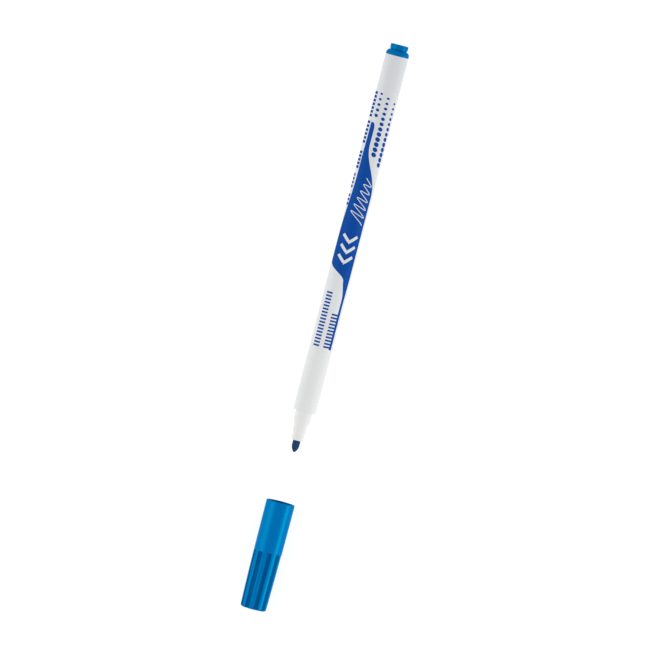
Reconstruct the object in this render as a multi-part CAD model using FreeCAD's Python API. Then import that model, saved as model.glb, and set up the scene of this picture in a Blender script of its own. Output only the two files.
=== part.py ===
"""Slim whiteboard marker with its cap off, as eight separate pieces.

Units are millimetres. The marker lies along X: the writing tip points to -X and the tail to +X,
with +Z up. The origin is under the middle of the laid-out marker, on the surface it lies on, so
the common axis of pen and cap runs at the height of the cap's widest radius.

Pen stations ("s") are distances from the tail's end towards the tip. Cap stations ("u") are
distances from the cap's mouth towards its closed end. The cap lies in line with the pen, a gap
away from the tip, and slides along X until its inner seal sits over the nose.
"""
import FreeCAD, Part
import math
import os

# ---------------------------------------------------------------- driving dimensions: layout
CAP_GAP = 17.7               # tip of the nib to the mouth of the cap, cap off

# ---------------------------------------------------------------- driving dimensions: barrel
BARREL_RADIUS = 4.05
BARREL_REAR = 3.80           # station of the rear edge
BARREL_FRONT = 129.8         # station of the front edge
BARREL_BORE_RADIUS = 3.10
SEAT_RADIUS = 3.25           # counterbore at each end that takes the nose and the plug
NOSE_SEAT_DEPTH = 9.0
PLUG_SEAT_DEPTH = 8.0
BARREL_FRONT_ROUND = 0.35
BARREL_REAR_ROUND = 0.08

# ---------------------------------------------------------------- driving dimensions: nose
NOSE_RADIUS_REAR = 3.05      # sealing land, just in front of the barrel
NOSE_RADIUS_FRONT = 3.00
NOSE_LAND_END = 132.8
NOSE_CONE_START = 133.2
NOSE_CONE_START_RADIUS = 2.88
NOSE_CONE_END = 135.2
SNOUT_RADIUS_REAR = 2.40
SNOUT_STEP_START = 136.7
SNOUT_STEP_START_RADIUS = 2.35
SNOUT_STEP_END = 137.5
SNOUT_RADIUS = 2.14
SNOUT_FRONT = 140.05
SNOUT_FRONT_RADIUS = 2.12
SNOUT_ROUND = 0.25

# ---------------------------------------------------------------- driving dimensions: nib
NIB_RADIUS = 1.30
NIB_TAPER_START = 141.7      # where the bullet tip begins
NIB_TIP = 144.3
NIB_TIP_BLUNTNESS = 0.30     # radius of the worn flat at the very tip
NIB_LENGTH = 30.5
NIB_REAR_POINT = 1.8         # length of the rear point that enters the reservoir
NIB_REAR_POINT_RADIUS = 0.5
VENT_COUNT = 3               # air grooves beside the nib
VENT_WIDTH = 0.6
VENT_RADIUS = 1.65

# ---------------------------------------------------------------- driving dimensions: reservoir
RESERVOIR_RADIUS = 2.95
FILM_THICKNESS = 0.05
RESERVOIR_REAR = 13.6

# ---------------------------------------------------------------- driving dimensions: tail plug
BOSS_RADIUS = 3.07
BOSS_LENGTH = 1.55
BOSS_ROUND = 0.15
NECK_RADIUS = 2.82           # narrow groove between boss and shoulder
NECK_END = 1.95
SHOULDER_RADIUS_START = 3.05
SHOULDER_MIDDLE = (2.60, 3.84)
SHOULDER_END = 3.35
COLLAR_RADIUS = 4.02
SPIGOT_RADIUS = 3.15
BEAD_RADIUS = SEAT_RADIUS    # the beads grip the counterbore
BEAD_STATIONS = (5.2, 7.4, 9.6)
BEAD_HALF_WIDTH = 0.45
PLUG_HOLLOW_RADIUS = 2.20
PLUG_HOLLOW_END = 2.6        # station of the hollow's closed end
PRONG_COUNT = 4              # they hold the reservoir forward
PRONG_WIDTH = 1.2
PRONG_OUTER_RADIUS = 2.90

# ---------------------------------------------------------------- driving dimensions: cap
CAP_LENGTH = 37.95
CAP_MOUTH_RADIUS = 4.985
CAP_SLEEVE_END = 17.8        # the plain sleeve ends and the flutes begin
CAP_SLEEVE_END_RADIUS = 4.88
CAP_BELLY = (28.0, 4.745)    # a point on the slightly crowned, fluted grip
CAP_END_RADIUS = 4.56
CAP_END_ROUND = 0.9
CAP_MOUTH_ROUND = 0.35
CAP_BORE_RADIUS = 4.10       # running fit over the barrel
CAP_BORE_DEPTH = 21.4
CAP_MOUTH_LEAD = 0.30        # chamfer that guides the cap onto the barrel
SEAL_SEAT_RADIUS = 3.75
SEAL_SEAT_DEPTH = 36.9
FLUTE_COUNT = 9
FLUTE_DEPTH = 0.44
FLUTE_HALF_WIDTH = 1.02
FLUTE_PHASE = 10.0           # degrees from +Z towards -Y to a groove's middle

# ---------------------------------------------------------------- driving dimensions: cap seal
SEAL_LIP_RADIUS = 3.10       # running fit over the nose's sealing land
SEAL_LIP_DEPTH = 4.4
SEAL_LIP_LEAD = 0.12
SEAL_CONE_END = 6.4
SEAL_POCKET_RADIUS = 2.50
SEAL_FLOOR = 0.5

# ---------------------------------------------------------------- derived places
AXIS_HEIGHT = CAP_MOUTH_RADIUS
CAP_MOUTH_STATION = NIB_TIP + CAP_GAP
TAIL_X = (CAP_MOUTH_STATION + CAP_LENGTH) / 2
NOSE_SEAT_STATION = BARREL_FRONT - NOSE_SEAT_DEPTH
PLUG_FRONT = BARREL_REAR + PLUG_SEAT_DEPTH
FULL_TURN = 360.0


# ---------------------------------------------------------------- geometry helpers
def pen_x(station):
    """X of a pen station."""
    return TAIL_X - station


def cap_x(station):
    """X of a cap station, with the cap off."""
    return TAIL_X - CAP_MOUTH_STATION - station


def place(point, to_x):
    """A (station, radius) point on the upper half plane through the axis."""
    station, radius = point
    return FreeCAD.Vector(to_x(station), 0, AXIS_HEIGHT + radius)


def outline_edges(steps, to_x):
    """Edges of a closed outline.

    A step is a (station, radius) point, or a pair of them: the middle and the end of an arc.
    """
    edges = []
    here = place(steps[0], to_x)
    for step in steps[1:] + [steps[0]]:
        if isinstance(step[0], tuple):
            middle = place(step[0], to_x)
            end = place(step[1], to_x)
            edges.append(Part.Arc(here, middle, end).toShape())
        else:
            end = place(step, to_x)
            edges.append(Part.LineSegment(here, end).toShape())
        here = end
    return edges


def turned(steps, to_x=pen_x):
    """Solid of revolution about the marker's axis."""
    face = Part.Face(Part.Wire(outline_edges(steps, to_x)))
    centre = FreeCAD.Vector(0, 0, AXIS_HEIGHT)
    return face.revolve(centre, FreeCAD.Vector(1, 0, 0), FULL_TURN)


def round_corner(station, radius, size, station_sign):
    """Quarter-round at an outer corner, as an arc step that ends on the end face.

    The corner is at (station, radius). station_sign is +1 where the body ends towards larger
    stations, and the arc then runs from the side wall to the end face.
    """
    inset = size * (1 - math.cos(math.radians(45)))
    middle = (station - station_sign * inset, radius - inset)
    return middle, (station, radius - size)


def round_corner_back(station, radius, size, station_sign):
    """The same quarter-round, run from the end face to the side wall."""
    middle, _ = round_corner(station, radius, size, station_sign)
    return middle, (station - station_sign * size, radius)


def ring_of(solid, count, phase=0.0):
    """Copies of a solid around the marker's axis. Angles turn from +Z towards -Y."""
    copies = []
    for index in range(count):
        copy = solid.copy()
        angle = phase + index * FULL_TURN / count
        copy.rotate(FreeCAD.Vector(0, 0, AXIS_HEIGHT), FreeCAD.Vector(1, 0, 0), angle)
        copies.append(copy)
    return copies


def radial_slab(x_low, x_high, width, inner, outer):
    """Block that reaches from one radius to another above the axis."""
    corner = FreeCAD.Vector(x_low, -width / 2, AXIS_HEIGHT + inner)
    return Part.makeBox(x_high - x_low, width, outer - inner, corner)


# ---------------------------------------------------------------- pen pieces
def make_barrel():
    """White tube with a counterbore at each end."""
    return turned([
        (BARREL_REAR + BARREL_REAR_ROUND, BARREL_RADIUS),
        (BARREL_FRONT - BARREL_FRONT_ROUND, BARREL_RADIUS),
        round_corner(BARREL_FRONT, BARREL_RADIUS, BARREL_FRONT_ROUND, 1),
        (BARREL_FRONT, SEAT_RADIUS),
        (NOSE_SEAT_STATION, SEAT_RADIUS),
        (NOSE_SEAT_STATION, BARREL_BORE_RADIUS),
        (PLUG_FRONT, BARREL_BORE_RADIUS),
        (PLUG_FRONT, SEAT_RADIUS),
        (BARREL_REAR, SEAT_RADIUS),
        (BARREL_REAR, BARREL_RADIUS - BARREL_REAR_ROUND),
    ])


def make_nib_holder():
    """Stepped nose with a spigot in the barrel and a vented bore for the nib."""
    body = turned([
        (NOSE_SEAT_STATION, NIB_RADIUS),
        (NOSE_SEAT_STATION, SEAT_RADIUS),
        (BARREL_FRONT, SEAT_RADIUS),
        (BARREL_FRONT, NOSE_RADIUS_REAR),
        (NOSE_LAND_END, NOSE_RADIUS_FRONT),
        (NOSE_CONE_START, NOSE_CONE_START_RADIUS),
        (NOSE_CONE_END, SNOUT_RADIUS_REAR),
        (SNOUT_STEP_START, SNOUT_STEP_START_RADIUS),
        (SNOUT_STEP_END, SNOUT_RADIUS),
        (SNOUT_FRONT - SNOUT_ROUND, SNOUT_FRONT_RADIUS),
        round_corner(SNOUT_FRONT, SNOUT_FRONT_RADIUS, SNOUT_ROUND, 1),
        (SNOUT_FRONT, NIB_RADIUS),
    ])
    margin = 1.0
    groove = radial_slab(
        pen_x(SNOUT_FRONT) - margin,
        pen_x(NOSE_SEAT_STATION) + margin,
        VENT_WIDTH,
        0.0,
        VENT_RADIUS,
    )
    return body.cut(ring_of(groove, VENT_COUNT))


def make_nib():
    """Felt rod with a bullet tip, and a blunt rear point inside the reservoir."""
    rear = NIB_TIP - NIB_LENGTH
    bullet_middle = (NIB_TIP - 0.9, 0.93)
    return turned([
        (rear, 0.0),
        (rear, NIB_REAR_POINT_RADIUS),
        (rear + NIB_REAR_POINT, NIB_RADIUS),
        (NIB_TAPER_START, NIB_RADIUS),
        (bullet_middle, (NIB_TIP - NIB_TIP_BLUNTNESS / 2, NIB_TIP_BLUNTNESS)),
        (NIB_TIP, 0.0),
    ])


def make_ink_reservoir():
    """Fibre core that holds the ink, with a blind socket for the nib's rear end."""
    rear_of_nib = NIB_TIP - NIB_LENGTH
    return turned([
        (RESERVOIR_REAR, 0.0),
        (RESERVOIR_REAR, RESERVOIR_RADIUS),
        (NOSE_SEAT_STATION, RESERVOIR_RADIUS),
        (NOSE_SEAT_STATION, NIB_RADIUS),
        (rear_of_nib + NIB_REAR_POINT, NIB_RADIUS),
        (rear_of_nib, NIB_REAR_POINT_RADIUS),
        (rear_of_nib, 0.0),
    ])


def make_reservoir_film():
    """Thin plastic wrap around the fibre core."""
    outer = RESERVOIR_RADIUS + FILM_THICKNESS
    return turned([
        (RESERVOIR_REAR, RESERVOIR_RADIUS),
        (RESERVOIR_REAR, outer),
        (NOSE_SEAT_STATION, outer),
        (NOSE_SEAT_STATION, RESERVOIR_RADIUS),
    ])


def bead_steps(station):
    """Outline steps of one rounded bead on the plug's spigot."""
    start = (station - BEAD_HALF_WIDTH, SPIGOT_RADIUS)
    crest = (station, BEAD_RADIUS)
    end = (station + BEAD_HALF_WIDTH, SPIGOT_RADIUS)
    return [start, (crest, end)]


def make_tail_plug():
    """Blue plug: boss, neck groove, rounded shoulder, collar, beaded spigot and four prongs."""
    steps = [
        (0.0, 0.0),
        (0.0, BOSS_RADIUS - BOSS_ROUND),
        round_corner_back(0.0, BOSS_RADIUS, BOSS_ROUND, -1),
        (BOSS_LENGTH, BOSS_RADIUS),
        (BOSS_LENGTH, NECK_RADIUS),
        (NECK_END, NECK_RADIUS),
        (NECK_END, SHOULDER_RADIUS_START),
        (SHOULDER_MIDDLE, (SHOULDER_END, COLLAR_RADIUS)),
        (BARREL_REAR, COLLAR_RADIUS),
        (BARREL_REAR, SPIGOT_RADIUS),
    ]
    for station in BEAD_STATIONS:
        steps += bead_steps(station)
    steps += [
        (PLUG_FRONT, SPIGOT_RADIUS),
        (PLUG_FRONT, PLUG_HOLLOW_RADIUS),
        (PLUG_HOLLOW_END, PLUG_HOLLOW_RADIUS),
        (PLUG_HOLLOW_END, 0.0),
    ]
    prong = radial_slab(
        pen_x(RESERVOIR_REAR),
        pen_x(PLUG_FRONT),
        PRONG_WIDTH,
        PLUG_HOLLOW_RADIUS,
        PRONG_OUTER_RADIUS,
    )
    return turned(steps).fuse(ring_of(prong, PRONG_COUNT))


# ---------------------------------------------------------------- cap pieces
def flute_cutter():
    """Long tapered round bar that scoops one groove, with a flat end at the sleeve."""
    scoop_radius = (FLUTE_HALF_WIDTH ** 2 + FLUTE_DEPTH ** 2) / (2 * FLUTE_DEPTH)
    rise = scoop_radius - FLUTE_DEPTH
    overrun = 1.0
    end_station = CAP_LENGTH + overrun
    slope = (CAP_END_RADIUS - CAP_SLEEVE_END_RADIUS) / (CAP_LENGTH - CAP_SLEEVE_END)
    start = FreeCAD.Vector(
        cap_x(CAP_SLEEVE_END),
        0,
        AXIS_HEIGHT + CAP_SLEEVE_END_RADIUS + rise,
    )
    length = end_station - CAP_SLEEVE_END
    end = start + FreeCAD.Vector(-length, 0, slope * length)
    circles = []
    for centre in (start, end):
        circle = Part.Circle(centre, FreeCAD.Vector(1, 0, 0), scoop_radius)
        circles.append(Part.Wire(circle.toShape()))
    return Part.makeLoft(circles, True, True)


def make_cap():
    """Tapered cap: plain sleeve, nine flutes, stepped bore."""
    body = turned([
        (0.0, CAP_BORE_RADIUS + CAP_MOUTH_LEAD),
        (0.0, CAP_MOUTH_RADIUS - CAP_MOUTH_ROUND),
        round_corner_back(0.0, CAP_MOUTH_RADIUS, CAP_MOUTH_ROUND, -1),
        (CAP_SLEEVE_END, CAP_SLEEVE_END_RADIUS),
        (CAP_BELLY, (CAP_LENGTH - CAP_END_ROUND, CAP_END_RADIUS)),
        round_corner(CAP_LENGTH, CAP_END_RADIUS, CAP_END_ROUND, 1),
        (CAP_LENGTH, 0.0),
        (SEAL_SEAT_DEPTH, 0.0),
        (SEAL_SEAT_DEPTH, SEAL_SEAT_RADIUS),
        (CAP_BORE_DEPTH, SEAL_SEAT_RADIUS),
        (CAP_BORE_DEPTH, CAP_BORE_RADIUS),
        (CAP_MOUTH_LEAD, CAP_BORE_RADIUS),
    ], cap_x)
    return body.cut(ring_of(flute_cutter(), FLUTE_COUNT, FLUTE_PHASE))


def make_cap_seal():
    """Inner liner that closes over the nose and keeps the nib from drying."""
    floor = SEAL_SEAT_DEPTH - SEAL_FLOOR
    return turned([
        (CAP_BORE_DEPTH, SEAL_LIP_RADIUS + SEAL_LIP_LEAD),
        (CAP_BORE_DEPTH, SEAL_SEAT_RADIUS),
        (SEAL_SEAT_DEPTH, SEAL_SEAT_RADIUS),
        (SEAL_SEAT_DEPTH, 0.0),
        (floor, 0.0),
        (floor, SEAL_POCKET_RADIUS),
        (CAP_BORE_DEPTH + SEAL_CONE_END, SEAL_POCKET_RADIUS),
        (CAP_BORE_DEPTH + SEAL_LIP_DEPTH, SEAL_LIP_RADIUS),
        (CAP_BORE_DEPTH + SEAL_LIP_LEAD, SEAL_LIP_RADIUS),
    ], cap_x)


MAKERS = {
    "barrel": make_barrel,
    "nib_holder": make_nib_holder,
    "nib": make_nib,
    "ink_reservoir": make_ink_reservoir,
    "reservoir_film": make_reservoir_film,
    "tail_plug": make_tail_plug,
    "cap": make_cap,
    "cap_seal": make_cap_seal,
}


def main():
    os.makedirs("parts", exist_ok=True)
    for node, maker in MAKERS.items():
        shape = maker()
        if len(shape.Solids) != 1 or not shape.isValid():
            raise RuntimeError(node + " is not one sound solid")
        solid = shape.Solids[0]
        print(node, round(solid.Volume, 2), "mm3")
        solid.exportStep(os.path.join("parts", node + ".step"))


main()
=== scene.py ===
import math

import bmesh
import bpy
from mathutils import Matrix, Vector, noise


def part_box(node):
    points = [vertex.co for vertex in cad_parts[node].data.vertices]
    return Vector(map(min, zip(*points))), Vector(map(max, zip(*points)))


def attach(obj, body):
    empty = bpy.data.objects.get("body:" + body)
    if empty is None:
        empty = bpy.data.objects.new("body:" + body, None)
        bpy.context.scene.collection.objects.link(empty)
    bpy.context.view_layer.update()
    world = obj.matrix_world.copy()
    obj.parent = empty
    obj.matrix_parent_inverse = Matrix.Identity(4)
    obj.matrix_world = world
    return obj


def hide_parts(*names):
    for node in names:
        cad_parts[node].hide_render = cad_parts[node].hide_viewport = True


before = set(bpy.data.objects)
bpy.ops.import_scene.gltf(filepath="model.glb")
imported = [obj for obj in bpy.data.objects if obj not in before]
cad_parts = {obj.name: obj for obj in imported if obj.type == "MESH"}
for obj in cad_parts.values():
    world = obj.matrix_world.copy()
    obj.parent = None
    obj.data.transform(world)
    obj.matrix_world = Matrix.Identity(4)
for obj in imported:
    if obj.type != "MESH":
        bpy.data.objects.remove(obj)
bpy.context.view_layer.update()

# Looks of a slim whiteboard marker that lies flat with its cap off.
#
# Pen stations are millimetres from the tail's end towards the writing tip. Cap stations are
# millimetres from the cap's mouth towards its closed end. Radii are millimetres. Angles turn about
# the marker's axis, from the top (+Z) towards -Y: in degrees in the print and in FLUTE_PHASE, and
# else in radians.

MM = 0.001
TAIL_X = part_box("tail_plug")[1].x
MOUTH_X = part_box("cap")[1].x
AXIS_Z = (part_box("barrel")[0].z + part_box("barrel")[1].z) / 2

# ------------------------------------------------------------------ sizes, as in the CAD model
BARREL_RADIUS = 4.05
BARREL_REAR = 3.80
BARREL_FRONT = 129.8
BORE_RADIUS = 3.10
SEAT_RADIUS = 3.25
NOSE_SEAT = 120.8
PLUG_FRONT = 11.80
NIB_RADIUS = 1.30
NIB_TIP = 144.3
NIB_REAR = 113.8
NIB_REAR_POINT = 1.8
NIB_REAR_POINT_RADIUS = 0.5
SNOUT_FRONT = 140.05
VENT_COUNT = 3
VENT_WIDTH = 0.6
VENT_RADIUS = 1.65
RESERVOIR_RADIUS = 2.95
RESERVOIR_REAR = 13.6
FILM_THICKNESS = 0.05
BOSS_RADIUS = 3.07
NECK_RADIUS = 2.82
COLLAR_RADIUS = 4.02
SPIGOT_RADIUS = 3.15
BEAD_STATIONS = (5.2, 7.4, 9.6)
BEAD_HALF_WIDTH = 0.45
PLUG_HOLLOW_RADIUS = 2.2
PLUG_HOLLOW_END = 2.6
PRONG_COUNT = 4
PRONG_WIDTH = 1.2
CAP_LENGTH = 37.95
CAP_BORE_RADIUS = 4.10
CAP_BORE_DEPTH = 21.4
SEAL_SEAT_RADIUS = 3.75
SEAL_SEAT_DEPTH = 36.9
SEAL_LIP_RADIUS = 3.1
SEAL_POCKET_RADIUS = 2.5
SEAL_FLOOR = 0.5
SLEEVE_END = 17.8
SLEEVE_END_RADIUS = 4.88
FLUTE_COUNT = 9
FLUTE_PHASE = 10.0
FLUTE_DEPTH = 0.44
FLUTE_HALF_WIDTH = 1.02
GRIP_END_RADIUS = 4.56
GRIP_END_ROUND = 0.9
GRIP_CROWN = 0.038

# ------------------------------------------------------------------ sizes of the visual model alone
# The cap's mouth is 0.002 mm slimmer than the CAD model's, which keeps the finer mesh in its box.
CAP_MOUTH_RADIUS = 4.983
FELT_SHOWS_FROM = 140.4
FLUTE_EDGE_SOFTNESS = 0.06
# Station in the cap's bore where its outer and inner outlines meet.
CAP_OUTLINES_MEET = 3

# ------------------------------------------------------------------ mesh fineness
ROUND_STEP = math.radians(15)
SHARP_ANGLE = math.radians(35)
RING_STEP = 2.5
TINY = 1e-6


# ------------------------------------------------------------------ geometry helpers
def pen_x(station):
    return TAIL_X - station * MM


def cap_x(station):
    return MOUTH_X - station * MM


def on_axis_circle(x, radius, angle):
    """Point at a radius in millimetres and an angle in radians about the axis."""
    return (x, -radius * MM * math.sin(angle), AXIS_Z + radius * MM * math.cos(angle))


def smooth_step(low, high, value):
    t = min(max((value - low) / (high - low), 0.0), 1.0)
    return t * t * (3 - 2 * t)


def rounded(corners, closed):
    """Outline points from (station, radius, fillet) corners, with each fillet as a short arc."""
    points = []
    last = len(corners) - 1
    for index, (station, radius, fillet) in enumerate(corners):
        here = Vector((station, radius))
        if fillet == 0 or (not closed and index in (0, last)):
            points.append(here)
            continue
        back = (Vector(corners[index - 1][:2]) - here).normalized()
        ahead = (Vector(corners[(index + 1) % len(corners)][:2]) - here).normalized()
        half = back.angle(ahead) / 2
        centre = here + (back + ahead).normalized() * (fillet / math.sin(half))
        start = here + back * (fillet / math.tan(half)) - centre
        end = here + ahead * (fillet / math.tan(half)) - centre
        first = math.atan2(start.y, start.x)
        sweep = math.remainder(math.atan2(end.y, end.x) - first, math.tau)
        steps = max(2, math.ceil(abs(sweep) / ROUND_STEP))
        for step in range(steps + 1):
            angle = first + sweep * step / steps
            points.append(centre + fillet * Vector((math.cos(angle), math.sin(angle))))
    return points


def with_rings(points, closed, longest=RING_STEP):
    """Adds points so that no straight run is longer than the ring step."""
    pairs = list(zip(points, points[1:]))
    if closed:
        pairs.append((points[-1], points[0]))
    fine = []
    for start, end in pairs:
        pieces = max(1, math.ceil((end - start).length / longest))
        for piece in range(pieces):
            fine.append(start.lerp(end, piece / pieces))
    if not closed:
        fine.append(points[-1])
    return fine


def bridge(first, second):
    """Faces between two rings of vertex numbers. A ring of one number is a point on the axis."""
    if len(first) == 1 and len(second) == 1:
        return []
    count = max(len(first), len(second))
    faces = []
    for k in range(count):
        after = (k + 1) % count
        if len(first) == 1:
            faces.append((first[0], second[k], second[after]))
        elif len(second) == 1:
            faces.append((first[k], second[0], first[after]))
        else:
            faces.append((first[k], second[k], second[after], first[after]))
    return faces


def mesh_object(name, vertices, faces):
    """Links a mesh with outward normals and smooth shading, split at sharp edges."""
    mesh = bpy.data.meshes.new(name)
    mesh.from_pydata(vertices, [], faces)
    bm = bmesh.new()
    bm.from_mesh(mesh)
    bmesh.ops.recalc_face_normals(bm, faces=bm.faces)
    bm.to_mesh(mesh)
    bm.free()
    mesh.shade_smooth()
    mesh.set_sharp_from_angle(angle=SHARP_ANGLE)
    obj = bpy.data.objects.new(name, mesh)
    bpy.context.scene.collection.objects.link(obj)
    return obj


def turned(name, points, to_x, segments=192, closed=True, radius_at=None):
    """Turned solid from an outline. radius_at(station, radius, angle) can shape it round the axis."""
    vertices = []
    rings = []
    for station, radius in points:
        count = 1 if radius < TINY else segments
        ring = []
        for k in range(count):
            angle = math.tau * k / segments
            local = radius_at(station, radius, angle) if radius_at else radius
            ring.append(len(vertices))
            vertices.append(on_axis_circle(to_x(station), local if count > 1 else 0.0, angle))
        rings.append(ring)
    pairs = list(zip(rings, rings[1:]))
    if closed:
        pairs.append((rings[-1], rings[0]))
    faces = [face for first, second in pairs for face in bridge(first, second)]
    return mesh_object(name, vertices, faces)


def cut_or_join(obj, name, slabs, operation):
    """Cuts slabs out of an object, or joins them to it. Each slab is a list of eight corners."""
    vertices = []
    faces = []
    for corners in slabs:
        base = len(vertices)
        vertices += corners
        quads = ((0, 1, 3, 2), (4, 6, 7, 5), (0, 4, 5, 1), (2, 3, 7, 6), (0, 2, 6, 4), (1, 5, 7, 3))
        faces += [tuple(base + k for k in quad) for quad in quads]
    tool = mesh_object(name + "_tool", vertices, faces)
    modifier = obj.modifiers.new("slabs", "BOOLEAN")
    modifier.operation = operation
    modifier.solver = "EXACT"
    modifier.object = tool
    depsgraph = bpy.context.evaluated_depsgraph_get()
    mesh = bpy.data.meshes.new_from_object(obj.evaluated_get(depsgraph))
    obj.modifiers.clear()
    obj.data = mesh
    bpy.data.objects.remove(tool)
    mesh.shade_smooth()
    mesh.set_sharp_from_angle(angle=SHARP_ANGLE)


def slab_corners(station_low, station_high, width, inner, outer, angle):
    """Eight corners of a slab that stands along a radius."""
    spin = Matrix.Rotation(angle, 3, "X")
    corners = []
    for station in (station_low, station_high):
        for side in (-width / 2, width / 2):
            for radius in (inner, outer):
                offset = spin @ Vector((0, side * MM, radius * MM))
                corners.append((pen_x(station), offset.y, AXIS_Z + offset.z))
    return corners


def stands_for(obj, node, body, material):
    """Puts a piece in place of its CAD node: gives it its material, hangs it on its body and hides the
    node.
    """
    obj.data.materials.clear()
    obj.data.materials.append(material)
    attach(obj, body)
    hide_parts(node)


# ------------------------------------------------------------------ material helpers
# A glint is the share of red, green and blue that a surface reflects when seen straight on.
GLINT_IOR = 1.04
BLUE_GLINT = (0.0004, 0.098, 0.122)
INK_GLINT = (0.004, 0.016, 0.030)
# Darker blue painted in as shade in the cap's flutes and inside the cap.
BLUE_PAINTED_SHADE = (0.0, 0.008, 0.190)
# Numbers of the colour sockets of Blender's Mix node, whose names several sockets share.
MIX_COLOUR_A = 6
MIX_COLOUR_B = 7
MIX_RESULT = 2


class Shader:
    """A material's node tree with short calls for the nodes that the finishes share."""

    def __init__(self, name):
        self.material = bpy.data.materials.new(name)
        self.material.use_nodes = True
        self.tree = self.material.node_tree
        self.surface = self.tree.nodes["Principled BSDF"]
        self.place = self.tree.nodes.new("ShaderNodeTexCoord").outputs["Object"]

    def set(self, **values):
        """Numbers and colours that are the same all over, straight on the surface shader."""
        for name, value in values.items():
            self.surface.inputs[name.replace("_", " ")].default_value = value

    def glint(self, reflectance):
        """Coloured gloss. The low IOR keeps edges seen at a slant from going white.

        It leaves almost no gloss straight on, so the tint is made strong enough to bring it back.
        """
        plain = ((GLINT_IOR - 1) / (GLINT_IOR + 1)) ** 2
        tint = tuple(share / plain for share in reflectance)
        self.set(IOR=GLINT_IOR, Specular_IOR_Level=0.5, Specular_Tint=(*tint, 1.0))

    def join(self, output, socket):
        self.tree.links.new(output, socket)

    def stretched(self, per_mm, along):
        """Object position in units of a pattern that is longer along the marker's axis."""
        node = self.tree.nodes.new("ShaderNodeMapping")
        scale = per_mm / MM
        node.inputs["Scale"].default_value = (scale / along, scale, scale)
        self.join(self.place, node.inputs["Vector"])
        return node.outputs["Vector"]

    def noise(self, per_mm, along=1.0, detail=3.0, rough=0.5):
        node = self.tree.nodes.new("ShaderNodeTexNoise")
        node.inputs["Scale"].default_value = 1.0
        node.inputs["Detail"].default_value = detail
        node.inputs["Roughness"].default_value = rough
        self.join(self.stretched(per_mm, along), node.inputs["Vector"])
        return node.outputs["Fac"]

    def ramp(self, value, low, high, out_low=0.0, out_high=1.0):
        """Value taken from one range to another, and held at the ends of it."""
        node = self.tree.nodes.new("ShaderNodeMapRange")
        node.inputs["From Min"].default_value = low
        node.inputs["From Max"].default_value = high
        node.inputs["To Min"].default_value = out_low
        node.inputs["To Max"].default_value = out_high
        self.join(value, node.inputs["Value"])
        return node.outputs["Result"]

    def mixed(self, share, first, second):
        """Colour between two colours, each a tuple or another node's output."""
        node = self.tree.nodes.new("ShaderNodeMix")
        node.data_type = "RGBA"
        self.join(share, node.inputs["Factor"])
        for colour, number in ((first, MIX_COLOUR_A), (second, MIX_COLOUR_B)):
            socket = node.inputs[number]
            if isinstance(colour, tuple):
                socket.default_value = (*colour, 1.0)
            else:
                self.join(colour, socket)
        return node.outputs[MIX_RESULT]

    def maths(self, operation, first, second):
        node = self.tree.nodes.new("ShaderNodeMath")
        node.operation = operation
        for value, socket in ((first, node.inputs[0]), (second, node.inputs[1])):
            if isinstance(value, (int, float)):
                socket.default_value = value
            else:
                self.join(value, socket)
        return node.outputs[0]

    def along_axis(self, x_low, x_high, out_low=0.0, out_high=1.0):
        """One value to another between two places along the marker."""
        node = self.tree.nodes.new("ShaderNodeSeparateXYZ")
        self.join(self.place, node.inputs[0])
        return self.ramp(node.outputs["X"], x_low, x_high, out_low, out_high)

    def from_axis(self):
        """Distance from the marker's axis."""
        flat = self.tree.nodes.new("ShaderNodeMapping")
        flat.inputs["Scale"].default_value = (0.0, 1.0, 1.0)
        flat.inputs["Location"].default_value = (0.0, 0.0, -AXIS_Z)
        self.join(self.place, flat.inputs["Vector"])
        node = self.tree.nodes.new("ShaderNodeVectorMath")
        node.operation = "LENGTH"
        self.join(flat.outputs["Vector"], node.inputs[0])
        return node.outputs["Value"]

    def bump(self, height, distance_mm):
        node = self.tree.nodes.new("ShaderNodeBump")
        node.inputs["Strength"].default_value = 1.0
        node.inputs["Distance"].default_value = distance_mm * MM
        self.join(height, node.inputs["Height"])
        self.join(node.outputs["Normal"], self.surface.inputs["Normal"])

    def colour(self, output):
        self.join(output, self.surface.inputs["Base Color"])

    def roughness(self, output):
        self.join(output, self.surface.inputs["Roughness"])


def moulded_plastic(name, colour, shade, rough, shade_in_hollows=None):
    """Moulded blue plastic: faint flow streaks, uneven gloss and a very fine skin texture.

    A function given for the hollows can give the share of a darker blue painted in as shade, as in the
    flutes and the inside of the cap.
    """
    shader = Shader(name)
    flow = shader.noise(0.16, along=5.0, detail=2.0)
    speckle = shader.noise(6.0, detail=2.0)
    streaks = shader.ramp(flow, 0.35, 0.68)
    specks = shader.ramp(speckle, 0.3, 0.7, -0.10, 0.10)
    surface = shader.mixed(shader.maths("ADD", streaks, specks), colour, shade)
    scuffs = shader.noise(1.1, along=9.0, detail=1.5)
    gloss = shader.ramp(scuffs, 0.2, 0.8, rough - 0.04, rough + 0.08)
    if shade_in_hollows:
        # Painted shade: the hollows take the darker blue, and also a rougher gloss.
        painted_shade = shade_in_hollows(shader)
        surface = shader.mixed(painted_shade, surface, BLUE_PAINTED_SHADE)
        gloss = shader.maths("ADD", gloss, shader.maths("MULTIPLY", painted_shade, 0.30))
    shader.colour(surface)
    shader.roughness(gloss)
    shader.bump(shader.noise(9.0, detail=2.0), 0.004)
    shader.glint(BLUE_GLINT)
    shader.set(Sheen_Weight=0.25, Sheen_Roughness=0.45, Sheen_Tint=(0.0, 0.45, 0.75, 1.0))
    return shader.material


def flute_painted_shade(shader):
    """Share of painted shade in the cap: a darker blue in its flutes and its inside, but not on its end
    face.
    """
    low, high = GRIP_END_RADIUS * MM, SLEEVE_END_RADIUS * MM
    surface = shader.along_axis(cap_x(CAP_LENGTH), cap_x(SLEEVE_END), low, high)
    depth = shader.maths("SUBTRACT", surface, shader.from_axis())
    below = shader.ramp(depth, 0.03 * MM, 0.17 * MM)
    off_the_end = shader.along_axis(cap_x(CAP_LENGTH - 0.1), cap_x(CAP_LENGTH - 0.6))
    return shader.maths("MULTIPLY", below, off_the_end)


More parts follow.
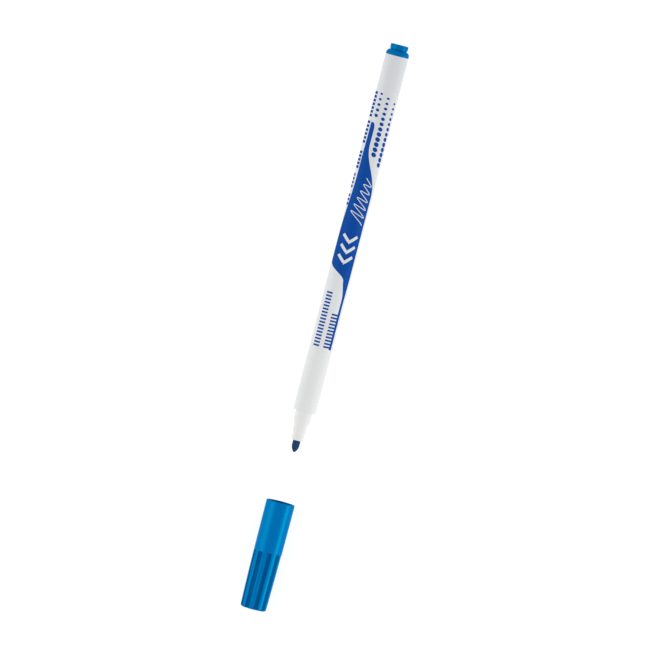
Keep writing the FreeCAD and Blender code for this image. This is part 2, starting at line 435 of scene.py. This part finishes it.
def printed_ink(name, colour, shade):
    """Screen-printed ink: slightly uneven film over the barrel."""
    shader = Shader(name)
    film = shader.noise(0.8, along=1.6, detail=4.0)
    pinholes = shader.noise(7.0, detail=1.0)
    thin_places = shader.ramp(film, 0.35, 0.7)
    thin_points = shader.ramp(pinholes, 0.55, 0.75, 0.0, 0.35)
    shader.colour(shader.mixed(shader.maths("ADD", thin_places, thin_points), colour, shade))
    shader.roughness(shader.ramp(film, 0.3, 0.7, 0.40, 0.52))
    shader.bump(pinholes, 0.003)
    shader.glint(INK_GLINT)
    return shader.material


def felt(name, colour, shade, fibre):
    """Ink-soaked felt: fibres along the rod, matt, with lighter worn ends of fibres."""
    shader = Shader(name)
    strands = shader.noise(5.5, along=9.0, detail=4.0, rough=0.7)
    tufts = shader.noise(3.0, along=1.3, detail=3.0)
    body = shader.mixed(shader.ramp(strands, 0.36, 0.64), shade, colour)
    shader.colour(shader.mixed(shader.ramp(tufts, 0.56, 0.80, 0.0, 0.55), body, fibre))
    shader.roughness(shader.ramp(strands, 0.3, 0.7, 0.62, 0.85))
    shader.bump(shader.maths("ADD", strands, tufts), 0.03)
    shader.set(Sheen_Weight=0.03, Sheen_Roughness=0.5, Specular_IOR_Level=0.08)
    return shader.material


def wrap_film(name):
    """Clear film wrap, tinted by the ink behind it."""
    shader = Shader(name)
    wrinkles = shader.noise(0.9, along=4.0, detail=3.0)
    shader.colour(shader.mixed(wrinkles, (0.12, 0.25, 0.62), (0.30, 0.45, 0.80)))
    shader.roughness(shader.ramp(wrinkles, 0.3, 0.7, 0.12, 0.28))
    shader.bump(wrinkles, 0.02)
    return shader.material


def white_plastic(name, shaded_tail_colour, lit_front_colour, rough):
    """Slightly translucent white plastic, painted darker and cooler towards the tail as shade, for light
    that is weaker there.
    """
    shader = Shader(name)
    clouds = shader.noise(0.09, along=3.0, detail=2.0)
    speckle = shader.noise(5.0, detail=2.0)
    broad = shader.ramp(clouds, 0.35, 0.65, -0.2, 0.2)
    fine = shader.ramp(speckle, 0.3, 0.7, -0.1, 0.1)
    uneven = shader.maths("ADD", broad, fine)
    # Painted shade and light: the colour goes from the darker tail colour to the lighter front colour
    # along the marker.
    towards_lit_front = shader.along_axis(pen_x(15), pen_x(125))
    shader.colour(shader.mixed(shader.maths("ADD", towards_lit_front, uneven), shaded_tail_colour, lit_front_colour))
    drawn = shader.noise(2.2, along=30.0, detail=3.0)
    shader.roughness(shader.ramp(drawn, 0.3, 0.7, rough - 0.05, rough + 0.07))
    shader.bump(drawn, 0.006)
    shader.set(IOR=1.49, Specular_IOR_Level=0.16)
    return shader.material


def make_materials():
    # The tail white is darker and cooler than the front white as painted shade, for light that falls off
    # towards the tail.
    shaded_tail_white = (0.695, 0.706, 0.722)
    lit_front_white = (0.775, 0.783, 0.772)
    nose_white = (0.800, 0.798, 0.776)
    cap_blue = (0.0, 0.096, 0.412)
    cap_shade = (0.0, 0.088, 0.380)
    plug_blue = (0.0, 0.076, 0.365)
    plug_shade = (0.0, 0.068, 0.335)
    return {
        "barrel": white_plastic("barrel_white", shaded_tail_white, lit_front_white, 0.42),
        "nose": white_plastic("nose_white", lit_front_white, nose_white, 0.40),
        "cap": moulded_plastic("cap_blue", cap_blue, cap_shade, 0.32, shade_in_hollows=flute_painted_shade),
        "plug": moulded_plastic("plug_blue", plug_blue, plug_shade, 0.36),
        "seal": moulded_plastic("seal_blue", (0.0, 0.10, 0.32), (0.0, 0.09, 0.29), 0.5),
        "ink": printed_ink("print_blue", (0.003, 0.052, 0.300), (0.005, 0.060, 0.330)),
        "gap": white_plastic("print_gap_white", shaded_tail_white, lit_front_white, 0.42),
        "nib": felt("nib_felt", (0.018, 0.060, 0.150), (0.008, 0.032, 0.092), (0.035, 0.11, 0.20)),
        "fibre": felt("reservoir_fibre", (0.02, 0.06, 0.30), (0.01, 0.04, 0.20), (0.10, 0.20, 0.5)),
        "film": wrap_film("reservoir_wrap"),
    }


# ------------------------------------------------------------------ pieces of the pen
def make_barrel(materials):
    corners = [
        (BARREL_REAR, BARREL_RADIUS, 0.08),
        (BARREL_FRONT, BARREL_RADIUS, 0.35),
        (BARREL_FRONT, SEAT_RADIUS, 0.05),
        (NOSE_SEAT, SEAT_RADIUS, 0),
        (NOSE_SEAT, BORE_RADIUS, 0),
        (PLUG_FRONT, BORE_RADIUS, 0),
        (PLUG_FRONT, SEAT_RADIUS, 0),
        (BARREL_REAR, SEAT_RADIUS, 0),
    ]
    points = with_rings(rounded(corners, True), True)
    obj = turned("barrel_shell", points, pen_x)
    stands_for(obj, "barrel", "pen", materials["barrel"])


def make_nib_holder(materials):
    corners = [
        (NOSE_SEAT, NIB_RADIUS, 0),
        (NOSE_SEAT, SEAT_RADIUS, 0.1),
        (BARREL_FRONT, SEAT_RADIUS, 0.04),
        (BARREL_FRONT, 3.05, 0.06),
        (132.95, 3.0, 0.5),
        (135.2, 2.40, 0.35),
        (136.9, 2.35, 0.4),
        (137.6, 2.14, 0.4),
        (SNOUT_FRONT, 2.12, 0.25),
        (SNOUT_FRONT, NIB_RADIUS, 0.06),
    ]
    points = with_rings(rounded(corners, True), True, 1.0)
    obj = turned("nose_moulding", points, pen_x, 144)
    vents = []
    for k in range(VENT_COUNT):
        angle = math.tau * k / VENT_COUNT
        vents.append(slab_corners(NOSE_SEAT - 1, SNOUT_FRONT + 0.95, VENT_WIDTH, -0.2, VENT_RADIUS, angle))
    cut_or_join(obj, "vents", vents, "DIFFERENCE")
    stands_for(obj, "nib_holder", "pen", materials["nose"])


def nib_radius(station, radius, angle):
    """Tiny unevenness of felt on the part of the nib that shows."""
    if station < FELT_SHOWS_FROM:
        return radius
    spot = Vector((station * 1.2, radius * math.cos(angle) * 5, radius * math.sin(angle) * 5))
    return radius + 0.018 * radius * noise.noise(spot)


def make_nib(materials):
    bullet_start = 141.6
    bullet_length = NIB_TIP - bullet_start
    rod = [
        Vector((NIB_REAR, 0)),
        Vector((NIB_REAR, NIB_REAR_POINT_RADIUS)),
        Vector((NIB_REAR + NIB_REAR_POINT, NIB_RADIUS)),
        Vector((bullet_start, NIB_RADIUS)),
    ]
    points = with_rings(rod, False, 1.0)
    steps = 22
    for step in range(1, steps):
        t = math.sin(math.pi / 2 * step / steps)
        radius = NIB_RADIUS * (1 - t ** 2.1) ** 0.72
        points.append(Vector((bullet_start + bullet_length * t, radius)))
    points.append(Vector((NIB_TIP, 0)))
    obj = turned("nib_felt_rod", points, pen_x, 96, closed=False, radius_at=nib_radius)
    stands_for(obj, "nib", "pen", materials["nib"])


def make_reservoir(materials):
    core = [
        (RESERVOIR_REAR, 0, 0),
        (RESERVOIR_REAR, RESERVOIR_RADIUS, 0),
        (NOSE_SEAT, RESERVOIR_RADIUS, 0),
        (NOSE_SEAT, NIB_RADIUS, 0),
        (NIB_REAR + NIB_REAR_POINT, NIB_RADIUS, 0),
        (NIB_REAR, NIB_REAR_POINT_RADIUS, 0),
        (NIB_REAR, 0, 0),
    ]
    obj = turned("ink_fibre_core", with_rings(rounded(core, False), False), pen_x, 96, closed=False)
    stands_for(obj, "ink_reservoir", "pen", materials["fibre"])
    wrap = [
        (RESERVOIR_REAR, RESERVOIR_RADIUS, 0),
        (RESERVOIR_REAR, RESERVOIR_RADIUS + FILM_THICKNESS, 0),
        (NOSE_SEAT, RESERVOIR_RADIUS + FILM_THICKNESS, 0),
        (NOSE_SEAT, RESERVOIR_RADIUS, 0),
    ]
    film = turned("ink_core_film", with_rings(rounded(wrap, True), True), pen_x, 96)
    stands_for(film, "reservoir_film", "pen", materials["film"])


def make_tail_plug(materials):
    corners = [
        (0.12, 0, 0),
        (0.12, 0.6, 0.04),
        (0.0, 0.75, 0.04),
        (0.0, BOSS_RADIUS, 0.14),
        (1.55, BOSS_RADIUS, 0.05),
        (1.58, NECK_RADIUS, 0.06),
        (1.92, NECK_RADIUS, 0.06),
        (1.95, 3.06, 0.03),
        (2.15, 3.45, 0.5),
        (2.80, 3.96, 0.8),
        (BARREL_REAR - 0.03, COLLAR_RADIUS, 0.05),
        (BARREL_REAR, 3.9, 0.03),
        (BARREL_REAR, SPIGOT_RADIUS, 0),
    ]
    for station in BEAD_STATIONS:
        corners += [
            (station - BEAD_HALF_WIDTH, SPIGOT_RADIUS, 0),
            (station - 0.15, SEAT_RADIUS, 0.3),
            (station + 0.15, SEAT_RADIUS, 0.3),
            (station + BEAD_HALF_WIDTH, SPIGOT_RADIUS, 0),
        ]
    corners += [
        (PLUG_FRONT, SPIGOT_RADIUS, 0.05),
        (PLUG_FRONT, PLUG_HOLLOW_RADIUS, 0),
        (PLUG_HOLLOW_END, PLUG_HOLLOW_RADIUS, 0.2),
        (PLUG_HOLLOW_END, 0, 0),
    ]
    points = with_rings(rounded(corners, False), False)
    obj = turned("tail_plug_moulding", points, pen_x, 160, closed=False)
    prongs = []
    for k in range(PRONG_COUNT):
        angle = math.tau * k / PRONG_COUNT
        prongs.append(slab_corners(PLUG_FRONT - 0.3, 13.58, PRONG_WIDTH, 2.25, 2.88, angle))
    cut_or_join(obj, "prongs", prongs, "UNION")
    stands_for(obj, "tail_plug", "pen", materials["plug"])


# ------------------------------------------------------------------ pieces of the cap
def flute_floor(station):
    """Radius of the deepest line of a flute."""
    slope = (GRIP_END_RADIUS - SLEEVE_END_RADIUS) / (CAP_LENGTH - SLEEVE_END)
    return SLEEVE_END_RADIUS - FLUTE_DEPTH + slope * (station - SLEEVE_END)


def cap_radius(station, radius, angle):
    """Outer radius of the cap round the axis: the plain profile, or a flute's scoop below it."""
    is_inside = radius <= CAP_BORE_RADIUS and station < SEAL_SEAT_DEPTH + 0.1
    if is_inside or station <= SLEEVE_END + 0.001:
        return radius
    pitch = math.tau / FLUTE_COUNT
    offset = math.remainder(angle - math.radians(FLUTE_PHASE), pitch)
    scoop = (FLUTE_HALF_WIDTH ** 2 + FLUTE_DEPTH ** 2) / (2 * FLUTE_DEPTH)
    centre = flute_floor(station) + scoop
    reach = scoop ** 2 - (centre * math.sin(offset)) ** 2
    if reach <= 0:
        return radius
    groove = centre * math.cos(offset) - math.sqrt(reach)
    nearness = max(FLUTE_EDGE_SOFTNESS - abs(groove - radius), 0.0) / FLUTE_EDGE_SOFTNESS
    return min(groove, radius) - nearness ** 2 * FLUTE_EDGE_SOFTNESS / 4


def make_cap(materials):
    outer = rounded([
        (CAP_OUTLINES_MEET, CAP_BORE_RADIUS, 0),
        (0, CAP_BORE_RADIUS, 0.25),
        (0, CAP_MOUTH_RADIUS, 0.38),
        (SLEEVE_END, SLEEVE_END_RADIUS, 0),
    ], False)
    outer = with_rings(outer, False, 1.2)
    for past_the_sleeve in (0.03, 0.12):
        outer.append(Vector((SLEEVE_END + past_the_sleeve, SLEEVE_END_RADIUS)))
    grip_steps = 26
    grip_end = CAP_LENGTH - GRIP_END_ROUND
    for step in range(1, grip_steps + 1):
        t = step / grip_steps
        station = SLEEVE_END + (grip_end - SLEEVE_END) * t
        line = SLEEVE_END_RADIUS + (GRIP_END_RADIUS - SLEEVE_END_RADIUS) * t
        outer.append(Vector((station, line + GRIP_CROWN * 4 * t * (1 - t))))
    corner_steps = 12
    for step in range(1, corner_steps + 1):
        angle = math.pi / 2 * step / corner_steps
        station = grip_end + GRIP_END_ROUND * math.sin(angle)
        radius = GRIP_END_RADIUS - GRIP_END_ROUND * (1 - math.cos(angle))
        outer.append(Vector((station, radius)))
    end_face = rounded([
        (CAP_LENGTH, 2.6, 0),
        (CAP_LENGTH, 0.85, 0.05),
        (CAP_LENGTH - 0.10, 0.70, 0.05),
        (CAP_LENGTH - 0.10, 0, 0),
    ], False)
    inside = rounded([
        (SEAL_SEAT_DEPTH, 0, 0),
        (SEAL_SEAT_DEPTH, SEAL_SEAT_RADIUS, 0.1),
        (CAP_BORE_DEPTH, SEAL_SEAT_RADIUS, 0.05),
        (CAP_BORE_DEPTH, CAP_BORE_RADIUS, 0.1),
        (CAP_OUTLINES_MEET, CAP_BORE_RADIUS, 0),
    ], False)
    inside = with_rings(inside, False)[:-1]
    points = outer + end_face + inside
    points = points[points.index(inside[0]):] + points[:points.index(inside[0])]
    obj = turned("cap_moulding", points, cap_x, FLUTE_COUNT * 36, closed=False, radius_at=cap_radius)
    stands_for(obj, "cap", "cap", materials["cap"])


def make_cap_seal(materials):
    corners = [
        (SEAL_SEAT_DEPTH - SEAL_FLOOR, 0, 0),
        (SEAL_SEAT_DEPTH - SEAL_FLOOR, SEAL_POCKET_RADIUS, 0.2),
        (CAP_BORE_DEPTH + 6.4, SEAL_POCKET_RADIUS, 0.4),
        (CAP_BORE_DEPTH + 4.4, SEAL_LIP_RADIUS, 0.4),
        (CAP_BORE_DEPTH, SEAL_LIP_RADIUS, 0.12),
        (CAP_BORE_DEPTH, SEAL_SEAT_RADIUS, 0.05),
        (SEAL_SEAT_DEPTH, SEAL_SEAT_RADIUS, 0.1),
        (SEAL_SEAT_DEPTH, 0, 0),
    ]
    points = with_rings(rounded(corners, False), False, 1.5)
    obj = turned("cap_liner", points, cap_x, 144, closed=False)
    stands_for(obj, "cap_seal", "cap", materials["seal"])


# ------------------------------------------------------------------ printed artwork
# Radii of the ink's film and of the white shapes over it. Both start below the surface under them.
INK_BOTTOM = 4.042
INK_TOP = 4.062
GAP_BOTTOM = 4.055
GAP_TOP = 4.072
DEGREE_ARC = math.radians(1) * BARREL_RADIUS


class Print:
    """Thin closed patches of ink that follow the barrel. A patch is a grid of (station, angle)."""

    def __init__(self, bottom, top):
        self.bottom = bottom
        self.top = top
        self.vertices = []
        self.faces = []

    def add_layer(self, points, radius):
        base = len(self.vertices)
        for station, degrees in points:
            self.vertices.append(on_axis_circle(pen_x(station), radius, math.radians(degrees)))
        return base

    def grid(self, rows):
        """rows: lists of (station, degrees), all of one length."""
        across = len(rows[0])
        points = [point for row in rows for point in row]
        low = self.add_layer(points, self.bottom)
        high = self.add_layer(points, self.top)
        for i in range(len(rows) - 1):
            for j in range(across - 1):
                a = i * across + j
                quad = (a, a + 1, a + across + 1, a + across)
                self.faces.append(tuple(high + k for k in quad))
                self.faces.append(tuple(low + k for k in reversed(quad)))
        rim = list(range(across))
        rim += [i * across + across - 1 for i in range(1, len(rows))]
        rim += [(len(rows) - 1) * across + j for j in range(across - 2, -1, -1)]
        rim += [i * across for i in range(len(rows) - 2, 0, -1)]
        self.wall(rim, low, high)

    def wall(self, rim, low, high):
        for here, after in zip(rim, rim[1:] + rim[:1]):
            self.faces.append((low + here, low + after, high + after, high + here))

    def ellipse(self, station, degrees, length, width, lean, rings=3, around=28):
        """Leaning ellipse. length is along the axis and width round it, in millimetres."""
        points = [(station, degrees)]
        for ring in range(1, rings + 1):
            for k in range(around):
                angle = math.tau * k / around
                arc = width / 2 * math.sin(angle) * ring / rings
                along = length / 2 * math.cos(angle) * ring / rings + lean * arc
                points.append((station + along, degrees + arc / DEGREE_ARC))
        low = self.add_layer(points, self.bottom)
        high = self.add_layer(points, self.top)
        for base, flip in ((low, True), (high, False)):
            for k in range(around):
                after = (k + 1) % around
                triangle = (base, base + 1 + k, base + 1 + after)
                self.faces.append(triangle[::-1] if flip else triangle)
                for ring in range(rings - 1):
                    start = base + 1 + ring * around
                    quad = (start + k, start + around + k, start + around + after, start + after)
                    self.faces.append(quad[::-1] if flip else quad)
        rim = [1 + (rings - 1) * around + k for k in range(around)]
        self.wall(rim, low, high)

    def stroke(self, path, width, rows=4):
        """Line of a given width in millimetres along a path of (station, degrees)."""
        flat = [Vector((s, d * DEGREE_ARC)) for s, d in path]
        grid = []
        for index, point in enumerate(flat):
            before = flat[max(index - 1, 0)]
            after = flat[min(index + 1, len(flat) - 1)]
            way = (point - before).normalized() + (after - point).normalized()
            way.normalize()
            first = (after - point) if index == 0 else (point - before)
            across = Vector((-way.y, way.x))
            lean = max(abs(way.dot(first.normalized())), 0.35)
            row = []
            for k in range(rows + 1):
                spot = point + across * (width / lean) * (k / rows - 0.5)
                row.append((spot.x, spot.y / DEGREE_ARC))
            grid.append(row)
        self.grid(grid)

    def build(self, name, material):
        obj = mesh_object(name, self.vertices, self.faces)
        obj.data.materials.append(material)
        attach(obj, "pen")


def print_dots(materials):
    """Three rows of leaning dots that grow towards the writing end."""
    art = Print(INK_BOTTOM, INK_TOP)
    rows = ((20.0, 54, 13, 1.80), (18.7, 11, 12, 1.80), (17.6, -27, 5, 1.90))
    small_length, small_width, small_lean = 0.74, 1.06, 0.11
    added_length, added_width, added_lean = 0.84, 0.70, 0.06
    grown_at = 8
    for first, degrees, count, pitch in rows:
        for k in range(count):
            growth = min(k / grown_at, 1.0)
            length = small_length + added_length * growth
            width = small_width + added_width * growth
            lean = small_lean + added_lean * growth
            art.ellipse(first + k * pitch, degrees, length, width, lean)
    art.build("print_dots", materials["ink"])


BAND_START = 27.7
BAND_END = 107.2
BAND_ROUND_END = 2.2
# About how many degrees an edge of the band may turn from one row of the mesh to the next.
BAND_TURN = 2.0


def band_upper(station):
    """The band's edge at the greater angle, in degrees, with its corner rounded."""
    rise = 80.5 * smooth_step(35.6, 53.5, station)
    settle = -3.5 * smooth_step(80, 92, station)
    corner = min(max((BAND_START + 2.0 - station) / 2.0, 0.0), 1.0)
    return -19.5 + rise + settle - 15 * (1 - math.sqrt(1 - corner ** 2))


def band_lower(station):
    """The band's edge at the smaller angle, in degrees, with its corner rounded."""
    belly = -2.5 * smooth_step(31.0, 41.0, station) - 26.0 * smooth_step(46.0, 70.0, station)
    sweep = 95.0 * smooth_step(77.0, 83.0, station) + 19.5 * smooth_step(82.0, 89.5, station)
    corner = min(max((BAND_START + 0.5 - station) / 0.5, 0.0), 1.0)
    return -44.5 + belly + sweep + 5 * (1 - math.sqrt(1 - corner ** 2))


def band_step(station):
    """Step to the next row of the band: short where one of its edges turns quickly."""
    probe = 0.05
    turns = [abs(edge(station + probe) - edge(station)) for edge in (band_lower, band_upper)]
    return min(0.45, BAND_TURN * probe / max(*turns, TINY))


def print_band(materials):
    """Blue band that starts as a bar, sweeps round the barrel and ends as a thin line."""
    art = Print(INK_BOTTOM, INK_TOP)
    end_rows = 10
    stations = []
    for k in range(end_rows):
        stations.append(BAND_START + BAND_ROUND_END * (1 - math.cos(math.pi / 2 * k / end_rows)))
    station = BAND_START + BAND_ROUND_END
    while station < BAND_END:
        stations.append(station)
        station += band_step(station)
    stations.append(BAND_END)
    rows = []
    across = 48
    for station in stations:
        low, high = band_lower(station), band_upper(station)
        rows.append([(station, low + (high - low) * k / across) for k in range(across + 1)])
    art.grid(rows)
    art.build("print_band", materials["ink"])


def bar_row(art, station_low, station_high, angle_low, angle_high, pitch, width):
    """Bars side by side along the axis, in place of a line of words.

    The pitch is adjusted a little so that a whole number of bars fills the row.
    """
    count = max(1, round((station_high - station_low) / pitch))
    real_pitch = (station_high - station_low) / count
    steps = max(2, round((angle_high - angle_low) / 2.5))
    for k in range(count):
        middle = station_low + (k + 0.5) * real_pitch
        rows = []
        for step in range(steps + 1):
            degrees = angle_low + (angle_high - angle_low) * step / steps
            rows.append([(middle - width / 2, degrees), (middle + width / 2, degrees)])
        art.grid(rows)


def print_bars(materials):
    """Plain bars where the maker's words would be."""
    large_pitch, large_width = 1.16, 0.62
    small_pitch, small_width = 1.35, 0.92
    large = Print(INK_BOTTOM, INK_TOP)
    bar_row(large, 87.3, 107.0, -45, -12, large_pitch, large_width)
    bar_row(large, 94.4, 107.0, 9, 42, large_pitch, large_width)
    large.build("print_large_bars", materials["ink"])
    small = Print(INK_BOTTOM, INK_TOP)
    for low, high in ((17.0, 26.3), (27.3, 35.6), (38.0, 44.5)):
        bar_row(small, low, high, -85, -52, small_pitch, small_width)
    for low, high in ((46.0, 51.4), (53.2, 57.6)):
        bar_row(small, low, high, -88, -60, small_pitch, small_width)
    small.build("print_small_bars", materials["ink"])


def print_marks(materials):
    """White shapes over the band: a long squiggle and three chevrons."""
    squiggle = Print(GAP_BOTTOM, GAP_TOP)
    path = []
    steps = 220
    half_swings = 11
    squiggle_start, squiggle_length = 47.4, 14.2
    first_centre, last_centre = 25, 6
    first_swing, last_swing = 17, 38
    for step in range(steps + 1):
        t = step / steps
        centre = first_centre + (last_centre - first_centre) * t
        swing = first_swing + (last_swing - first_swing) * t
        degrees = centre + swing * math.sin(math.pi * half_swings * t - math.pi / 2)
        lean = 0.55 * (degrees - centre) * DEGREE_ARC
        path.append((squiggle_start + squiggle_length * t + lean, degrees))
    squiggle.stroke(path, 0.27)
    squiggle.build("print_squiggle", materials["gap"])
    chevrons = Print(GAP_BOTTOM, GAP_TOP)
    arm_steps = 8
    arm_length = 2.4
    middle_degrees, arm_degrees = 2, 36
    for first in (67.2, 70.8, 74.4):
        path = []
        for step in range(2 * arm_steps + 1):
            t = step / arm_steps - 1
            path.append((first + arm_length * (1 - abs(t)), middle_degrees + arm_degrees * t))
        chevrons.stroke(path, 1.0)
    chevrons.build("print_chevrons", materials["gap"])


# ------------------------------------------------------------------ stage, light and camera
def make_floor():
    """Pale floor. It leans a third of a degree, so that both the tail end and the cap touch it."""
    half = 4.0
    barrel_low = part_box("barrel")[0]
    cap_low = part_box("cap")[0]
    barrel_rear_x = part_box("barrel")[1].x
    slope = (barrel_low.z - cap_low.z) / (barrel_rear_x - MOUTH_X)
    corners = []
    for x, y in ((-half, -half), (half, -half), (half, half), (-half, half)):
        corners.append((x, y, cap_low.z + (x - MOUTH_X) * slope))
    floor = mesh_object("floor", corners, [(0, 1, 2, 3)])
    shader = Shader("floor_white")
    grain = shader.noise(0.02, detail=3.0)
    shader.colour(shader.mixed(grain, (0.29, 0.29, 0.29), (0.32, 0.32, 0.32)))
    shader.set(Roughness=0.9, Specular_IOR_Level=0.1)
    shader.set(Emission_Color=(1, 1, 1, 1), Emission_Strength=0.80)
    floor.data.materials.append(shader.material)


def soft_box(name, place, target, size, power):
    light = bpy.data.lights.new(name, "AREA")
    light.shape = "RECTANGLE"
    light.size = size[0]
    light.size_y = size[1]
    light.energy = power
    obj = bpy.data.objects.new(name, light)
    obj.location = place
    obj.rotation_euler = (Vector(target) - Vector(place)).to_track_quat("-Z", "Y").to_euler()
    bpy.context.scene.collection.objects.link(obj)


def make_light():
    world = bpy.data.worlds.new("studio")
    world.use_nodes = True
    background = world.node_tree.nodes["Background"]
    background.inputs["Color"].default_value = (0.97, 0.985, 1.0, 1.0)
    background.inputs["Strength"].default_value = 0.72
    bpy.context.scene.world = world
    lit_place = (-0.05, 0, 0)
    soft_box("box_left", (-0.10, 0.40, 0.230), lit_place, (0.50, 0.36), 0.70)
    soft_box("box_right", (-0.10, -0.38, 0.135), lit_place, (0.50, 0.145), 0.66)


def make_camera():
    """Nearly straight above, from a little beyond the tail, turned so that the pen leans right."""
    lean = math.radians(14.61)
    tilt = math.radians(2.99)
    distance = 3.6
    along = Vector((math.cos(tilt), 0, -math.sin(tilt)))
    side = Vector((0, 1, 0))
    back = Vector((math.sin(tilt), 0, math.cos(tilt)))
    right = along * math.sin(lean) - side * math.cos(lean)
    up = along * math.cos(lean) + side * math.sin(lean)
    aim = Vector((-0.00007, -0.00060, AXIS_Z))
    place = aim + back * distance
    camera = bpy.data.cameras.new("camera")
    camera.sensor_width = 36
    camera.lens = 576.3
    obj = bpy.data.objects.new("camera", camera)
    rows = [(right[k], up[k], back[k], place[k]) for k in range(3)]
    obj.matrix_world = Matrix(rows + [(0, 0, 0, 1)])
    bpy.context.scene.collection.objects.link(obj)
    bpy.context.scene.camera = obj


def main():
    materials = make_materials()
    make_barrel(materials)
    make_nib_holder(materials)
    make_nib(materials)
    make_reservoir(materials)
    make_tail_plug(materials)
    make_cap(materials)
    make_cap_seal(materials)
    print_dots(materials)
    print_band(materials)
    print_bars(materials)
    print_marks(materials)
    make_floor()
    make_light()
    make_camera()
    bpy.context.scene.view_settings.view_transform = "Standard"


main()
